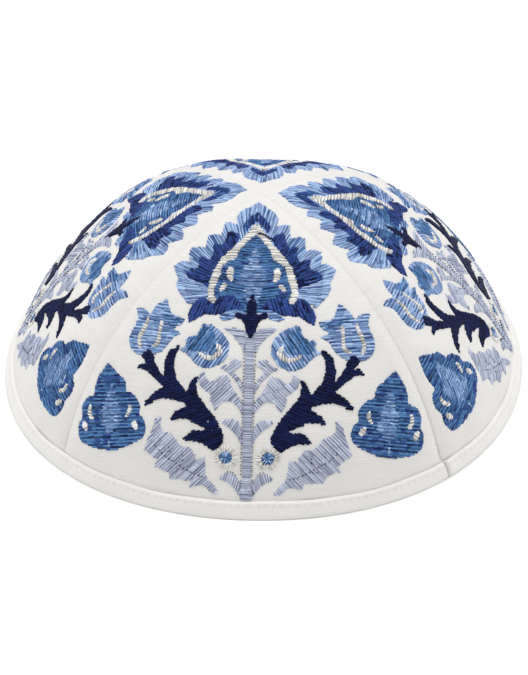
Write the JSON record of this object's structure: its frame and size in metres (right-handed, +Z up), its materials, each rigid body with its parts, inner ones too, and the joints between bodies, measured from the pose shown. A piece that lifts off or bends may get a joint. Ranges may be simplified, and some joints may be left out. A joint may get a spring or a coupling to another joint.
{
  "type": "kippah skullcap",
  "caption": "Round skullcap of embroidered cloth panels sewn at the crown, its rim bound with a folded strip; rests on its rim, open below for the head.",
  "frame": {"origin": "centre of the rim's base, on the surface that the cap stands on", "axes": "+Z up through the crown where the four seams meet, front panel facing -Y, right panel facing +X"},
  "size_m": [0.168, 0.168, 0.0633],
  "materials": {
    "panel_cloth": "matt off-white slubbed weave",
    "binding_cloth": "matt off-white plain weave, folded and stitched",
    "thread_light_blue": "satin stitched thread",
    "thread_mid_blue": "satin stitched thread",
    "thread_royal_blue": "satin stitched thread",
    "thread_navy": "satin stitched thread",
    "thread_lavender": "satin stitched thread",
    "thread_slate": "fine dark stitched thread",
    "thread_cream": "satin stitched thread"
  },
  "bodies": {
    "root": {"panel_front": "panel_cloth", "panel_right": "panel_cloth", "panel_back": "panel_cloth", "panel_left": "panel_cloth", "rim_binding": "binding_cloth"}
  },
  "joints": []
}
